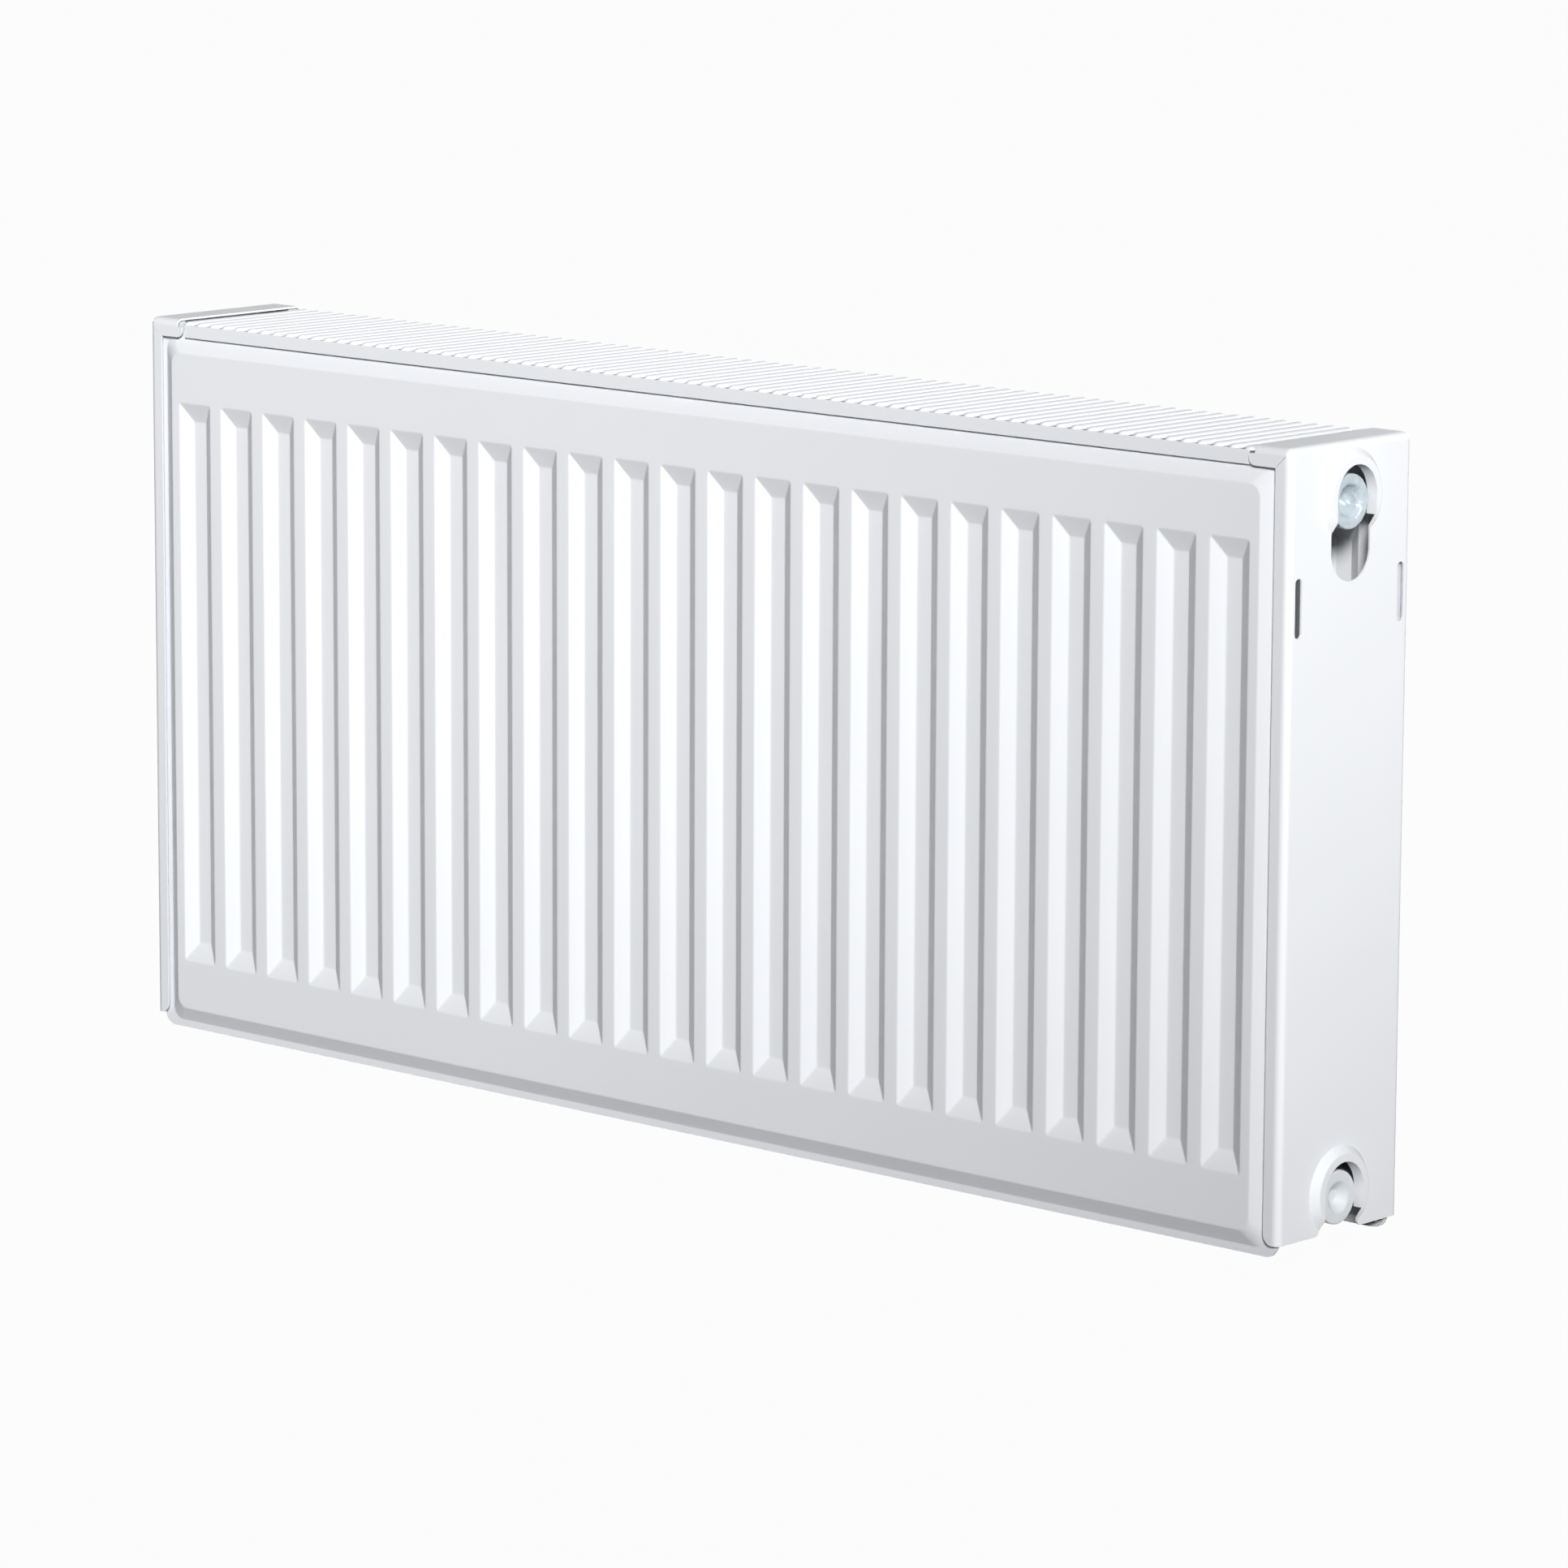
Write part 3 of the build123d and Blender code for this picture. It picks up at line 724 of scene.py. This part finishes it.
class RADIATOR_OT_side_covers(bpy.types.Operator):
    """Fold the side covers, with their collars, slots and notches"""

    bl_idname = "radiator.side_covers"
    bl_label = "Side covers"

    def execute(self, context):
        sizes = context.scene.radiator_sizes
        right, outside = fold_cover(sizes)
        upper, lower = (height + sizes.collar_rise for height in (upper_tapping, lower_tapping))
        raise_collar(right, outside, upper, sizes.slot_drop, sizes)
        raise_collar(right, outside, lower, lower, sizes)
        cut_vents(right, outside, sizes)
        round_notch(right, sizes)
        soften(right, sizes.cover_edge, 45)
        left = mirrored_copy(right, 0, 0)
        enamel = finish_named("satin_enamel")
        for piece, side in ((right, "right"), (left, "left")):
            finish_piece(
                piece,
                f"folded_{side}_cover",
                f"{side}_cover",
                enamel,
                [f"{side}_side_cover"],
                30,
            )
        return {"FINISHED"}


# Grille


def model_bar(sizes):
    """One arched bar across the radiator, closed by a rounded nose at each end."""
    radius = sizes.bar_width / 2
    foot = grille_high.z - sizes.bar_rise
    nose = grille_low.y + radius
    tail = 2 * middle_y - nose
    count = int((grille_high.x - grille_low.x - sizes.bar_width) // sizes.bar_pitch) + 1
    start = -(count - 1) * sizes.bar_pitch / 2
    centre = (start, nose, foot)
    deselect_everything()
    bpy.ops.mesh.primitive_uv_sphere_add(
        segments=16, ring_count=8, radius=radius, location=centre, rotation=(math.pi / 2, 0, 0)
    )
    bar = bpy.context.object
    start_editing()
    bpy.ops.mesh.select_all(action="SELECT")
    bpy.ops.mesh.bisect(plane_co=(0, 0, foot), plane_no=(0, 0, 1), clear_inner=True)
    bpy.ops.mesh.select_all(action="SELECT")
    bpy.ops.transform.resize(value=(1, 1, sizes.bar_rise / radius), center_override=centre)
    pick("VERT", lambda vert: vert.co.y > nose + TOUCH)
    bpy.ops.transform.translate(value=(0, tail - nose, 0))
    apply_modifier(bar, "SOLIDIFY", thickness=sizes.bar_sheet, offset=-1)
    return bar, count


class RADIATOR_OT_grille(bpy.types.Operator):
    """Make the top grille of arched bars between two strips"""

    bl_idname = "radiator.grille"
    bl_label = "Top grille"

    def execute(self, context):
        sizes = context.scene.radiator_sizes
        bar, count = model_bar(sizes)
        make_active(bar)
        bpy.ops.object.mode_set(mode="EDIT")
        bpy.ops.mesh.select_all(action="SELECT")
        for _ in range(count - 1):
            bpy.ops.mesh.duplicate_move(TRANSFORM_OT_translate={"value": (sizes.bar_pitch, 0, 0)})
        bpy.ops.object.mode_set(mode="OBJECT")
        strips = []
        strip_top = grille_high.z - sizes.strip_drop
        for y in (grille_low.y, 2 * middle_y - grille_low.y - sizes.strip_sheet):
            strip = add_block(
                (sizes.strip_gap - cover_low.x, y, grille_low.z),
                (cover_low.x - sizes.strip_gap, y + sizes.strip_sheet, strip_top),
            )
            pick("EDGE", edge_at(lambda a, b: abs(a.x - b.x) > sizes.bar_pitch))
            bpy.ops.mesh.bevel(offset=sizes.strip_edge, segments=3)
            bpy.ops.object.mode_set(mode="OBJECT")
            strips.append(strip)
        make_active(bar)
        for strip in strips:
            strip.select_set(True)
        bpy.ops.object.join()
        enamel = finish_named("satin_enamel")
        finish_piece(bar, "barred_top_grille", "grille", enamel, ["top_grille"])
        return {"FINISHED"}


# Plugs


def turn_plug(low, high, steps, sizes):
    """Plug along X: a rounded flange, a hollow of (radius, depth) steps and a shank behind."""
    z = (low.z + high.z) / 2
    flange_radius = (high.z - low.z) / 2
    back = high.x - sizes.plug_flange
    plug = add_disc_block(middle_y, z, flange_radius, back, high.x, PLUG_SIDES)
    centre = (0, middle_y, z)
    pick("FACE", face_at(lambda middle, normal: normal.x < -SQUARE_ON))
    draw_out(0, sizes.plug_shank / flange_radius, centre)
    draw_out(low.x - back, 1, centre)
    radius, depth = flange_radius, 0
    pick("FACE", face_at(lambda middle, normal: normal.x > SQUARE_ON))
    for new_radius, new_depth in steps:
        draw_out(depth - new_depth, new_radius / radius, centre)
        radius, depth = new_radius, new_depth
    soften(plug, sizes.plug_edge, 35, 4)
    return plug


class RADIATOR_OT_plugs(bpy.types.Operator):
    """Mould the transport plugs in the right-hand tappings"""

    bl_idname = "radiator.plugs"
    bl_label = "Transport plugs"

    def execute(self, context):
        sizes = context.scene.radiator_sizes
        cup = [
            (sizes.cup_radius + sizes.cup_lip, 0),
            (sizes.cup_radius, sizes.cup_lip),
            (sizes.waist_radius, sizes.waist_depth),
            (sizes.cup_floor, sizes.cup_depth),
        ]
        dish = [(sizes.cup_radius, 0), (sizes.dish_floor, sizes.dish_depth)]
        upper = turn_plug(upper_plug_low, upper_plug_high, cup, sizes)
        lower = turn_plug(lower_plug_low, lower_plug_high, dish, sizes)
        for piece, level, slot, plastic in (
            (upper, "upper", "clear_plug_plastic", "milky_polyethylene"),
            (lower, "lower", "white_plug_plastic", "white_polyethylene"),
        ):
            finish_piece(
                piece,
                f"{level}_transport_plug",
                f"{level}_plug",
                finish_named(plastic),
                [f"{level}_right_plug"],
            )
        return {"FINISHED"}


# Hanging lugs


def bend_lug(low, high, sizes):
    """Strap with two feet and a raised middle, bent from one strip."""
    sheet = sizes.lug_sheet
    foot = Vector((low.x + sizes.lug_foot / 2, low.y + sheet, (low.z + high.z) / 2))
    deselect_everything()
    bpy.ops.mesh.primitive_plane_add(size=1, location=foot, rotation=(math.pi / 2, 0, 0))
    lug = bpy.context.object
    start_editing()
    bpy.ops.mesh.select_all(action="SELECT")
    bpy.ops.transform.resize(
        value=(sizes.lug_foot, 1, high.z - low.z), center_override=foot
    )
    bpy.ops.mesh.flip_normals()
    pick("EDGE", edge_at(lambda a, b: min(a.x, b.x) > foot.x))
    rise = high.y - low.y - sheet
    span = high.x - low.x - 2 * sizes.lug_foot
    for step in ((0, rise, 0), (span, 0, 0), (0, -rise, 0), (sizes.lug_foot, 0, 0)):
        bpy.ops.mesh.extrude_edges_move(TRANSFORM_OT_translate={"value": step})
    bpy.ops.mesh.select_all(action="SELECT")
    bpy.ops.mesh.normals_make_consistent(inside=False)
    apply_modifier(lug, "SOLIDIFY", thickness=sheet, offset=-1, use_even_offset=True)
    soften(lug, sizes.lug_edge, 40, 3)
    return lug


class RADIATOR_OT_lugs(bpy.types.Operator):
    """Bend the hanging lugs on the rear panel"""

    bl_idname = "radiator.lugs"
    bl_label = "Hanging lugs"

    def execute(self, context):
        sizes = context.scene.radiator_sizes
        names = [
            f"{level}_{side}_lug" for level in ("upper", "lower") for side in ("right", "left")
        ]
        low, high = node_box(names[0])
        first = bend_lug(low, high, sizes)
        straps = {names[0]: first}
        for name in names[1:]:
            make_active(first)
            bpy.ops.object.duplicate(linked=False)
            straps[name] = bpy.context.object
            bpy.ops.object.mode_set(mode="EDIT")
            bpy.ops.mesh.select_all(action="SELECT")
            bpy.ops.transform.translate(value=node_box(name)[0] - low)
        enamel = finish_named("satin_enamel")
        for name, strap in straps.items():
            finish_piece(strap, f"bent_{name}", "radiator", enamel, [name])
        return {"FINISHED"}


class RADIATOR_OT_hidden_parts(bpy.types.Operator):
    """Finish the inner sheets, convectors, tees and clips"""

    bl_idname = "radiator.hidden_parts"
    bl_label = "Inner parts"

    def execute(self, context):
        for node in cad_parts:
            if "inner_sheet" in node:
                dress_node(node, finish_named("satin_enamel"))
            elif "convector" in node or "tee" in node:
                dress_node(node, finish_named("dipped_primer"))
            elif "clips" in node:
                dress_node(node, finish_named("clip_nylon"))
        return {"FINISHED"}


# Stage


RAYS_THAT_SEE = ("Camera", "Glossy", "Transmission")
LAMPS = (
    # Name, azimuth and elevation in degrees, distance, size, watts, spread in degrees, aim
    ("key_lamp", 45, 19, 9.0, 1.8, 22.5, 21, (-0.4, 0, 0.6)),
    ("side_lamp", 106, 12, 4.0, 1.0, 2.1, 24, (0.4, 0, 0.55)),
    ("rear_lamp", -160, 3, 4.0, 1.6, 12.0, 50, (0, 0, 0.2)),
    ("left_lamp", -125, 0, 4.0, 0.3, 1.2, 20, (-0.4, 0, 0.2)),
)
VIEWPOINT = {
    "place": (2.5059, -2.7077, 0.8435),
    "azimuth": 42.464,
    "elevation": 10.19,
    "roll": 0.26,
    "lens": 163.3,
}


def white_to_the_eye(name, surface_colour, share):
    """Floor finish: pale and matt to the object, near white to the camera, keeping shadows."""
    finish = Finish(name, base_color=surface_colour + (1,), roughness=0.9)
    seen = [finish.node("ShaderNodeLightPath", output=f"Is {ray} Ray") for ray in RAYS_THAT_SEE]
    path = seen[0] + seen[1] + seen[2]
    glow = finish.node("ShaderNodeEmission", None, {"Color": (1, 1, 1, 1), "Strength": 1.0})
    body = Signal(finish, finish.shader.outputs[0])
    mix = finish.node("ShaderNodeMixShader", None, {0: share * path, 1: body, 2: glow})
    outlet = finish.tree.nodes["Material Output"]
    finish.tree.links.new(mix.socket, outlet.inputs["Surface"])
    return finish.material


def add_lamp(name, azimuth, elevation, distance, size, power, spread, aim):
    """Square soft lamp at an azimuth from the front and an elevation, its beam aimed at a point."""
    a, e = math.radians(azimuth), math.radians(elevation)
    away = Vector((math.sin(a) * math.cos(e), -math.cos(a) * math.cos(e), math.sin(e)))
    deselect_everything()
    bpy.ops.object.light_add(type="AREA", location=Vector(aim) + distance * away)
    lamp = bpy.context.object
    lamp.name = name
    lamp.data.size = size
    lamp.data.energy = power
    lamp.data.spread = math.radians(spread)
    lamp.rotation_euler = (-away).to_track_quat("-Z", "Y").to_euler()


def add_floor():
    """Wide pale floor under the radiator."""
    deselect_everything()
    bpy.ops.mesh.primitive_plane_add(size=30, location=(0, 0, 0))
    floor = bpy.context.object
    floor.name = "floor"
    floor.data.materials.append(white_to_the_eye("pale_floor", (0.06, 0.06, 0.062), 0.97))


def light_the_room():
    """Faint cool light from all round, with a white backdrop for the rays that see."""
    world = bpy.data.worlds.new("studio")
    bpy.context.scene.world = world
    world.use_nodes = True
    tree = world.node_tree
    ambient = tree.nodes["Background"]
    ambient.inputs["Color"].default_value = (0.97, 0.985, 1, 1)
    ambient.inputs["Strength"].default_value = 0.02
    backdrop = tree.nodes.new("ShaderNodeBackground")
    backdrop.inputs["Color"].default_value = (1, 1, 1, 1)
    path = tree.nodes.new("ShaderNodeLightPath")
    choose = tree.nodes.new("ShaderNodeMixShader")
    seen = path.outputs[f"Is {RAYS_THAT_SEE[0]} Ray"]
    for ray in RAYS_THAT_SEE[1:]:
        either = tree.nodes.new("ShaderNodeMath")
        either.operation = "MAXIMUM"
        tree.links.new(seen, either.inputs[0])
        tree.links.new(path.outputs[f"Is {ray} Ray"], either.inputs[1])
        seen = either.outputs[0]
    tree.links.new(seen, choose.inputs[0])
    tree.links.new(ambient.outputs[0], choose.inputs[1])
    tree.links.new(backdrop.outputs[0], choose.inputs[2])
    tree.links.new(choose.outputs[0], tree.nodes["World Output"].inputs["Surface"])


def add_camera(place, azimuth, elevation, roll, lens):
    """Camera at a place, looking back from an azimuth and down from an elevation."""
    bpy.ops.object.camera_add(location=place)
    camera = bpy.context.object
    camera.name = "camera"
    camera.data.lens = lens
    camera.data.clip_end = 60
    level = Euler((math.radians(90 - elevation), 0, math.radians(azimuth))).to_matrix()
    tilt = Matrix.Rotation(math.radians(roll), 3, "Z")
    camera.rotation_euler = (level @ tilt).to_euler()
    bpy.context.scene.camera = camera


class RADIATOR_OT_stage(bpy.types.Operator):
    """Set the floor, the lamps and the camera"""

    bl_idname = "radiator.stage"
    bl_label = "Stage"

    def execute(self, context):
        add_floor()
        for lamp in LAMPS:
            add_lamp(*lamp)
        light_the_room()
        add_camera(**VIEWPOINT)
        context.scene.view_settings.view_transform = "Standard"
        return {"FINISHED"}


class RADIATOR_PT_panel(bpy.types.Panel):
    """Sidebar panel that lists the steps, the sizes and the colours"""

    bl_idname = "RADIATOR_PT_panel"
    bl_label = "Panel Radiator"
    bl_space_type = "VIEW_3D"
    bl_region_type = "UI"
    bl_category = "Radiator"

    def draw(self, context):
        layout = self.layout
        for step in STEPS:
            layout.operator(step.bl_idname)
        for group in (context.scene.radiator_colours, context.scene.radiator_sizes):
            box = layout.box()
            for name in group.__annotations__:
                box.prop(group, name)


STEPS = (
    RADIATOR_OT_finishes,
    RADIATOR_OT_pressed_sheets,
    RADIATOR_OT_side_covers,
    RADIATOR_OT_grille,
    RADIATOR_OT_plugs,
    RADIATOR_OT_lugs,
    RADIATOR_OT_hidden_parts,
    RADIATOR_OT_stage,
)
CLASSES = (RadiatorSizes, RadiatorColours) + STEPS + (RADIATOR_PT_panel,)


def register():
    for item in CLASSES:
        bpy.utils.register_class(item)
    bpy.types.Scene.radiator_sizes = PointerProperty(type=RadiatorSizes)
    bpy.types.Scene.radiator_colours = PointerProperty(type=RadiatorColours)


def unregister():
    del bpy.types.Scene.radiator_colours
    del bpy.types.Scene.radiator_sizes
    for item in reversed(CLASSES):
        bpy.utils.unregister_class(item)


def main():
    register()
    for step in STEPS:
        group, name = step.bl_idname.split(".")
        getattr(getattr(bpy.ops, group), name)()
    deselect_everything()


if __name__ == "__main__":
    main()
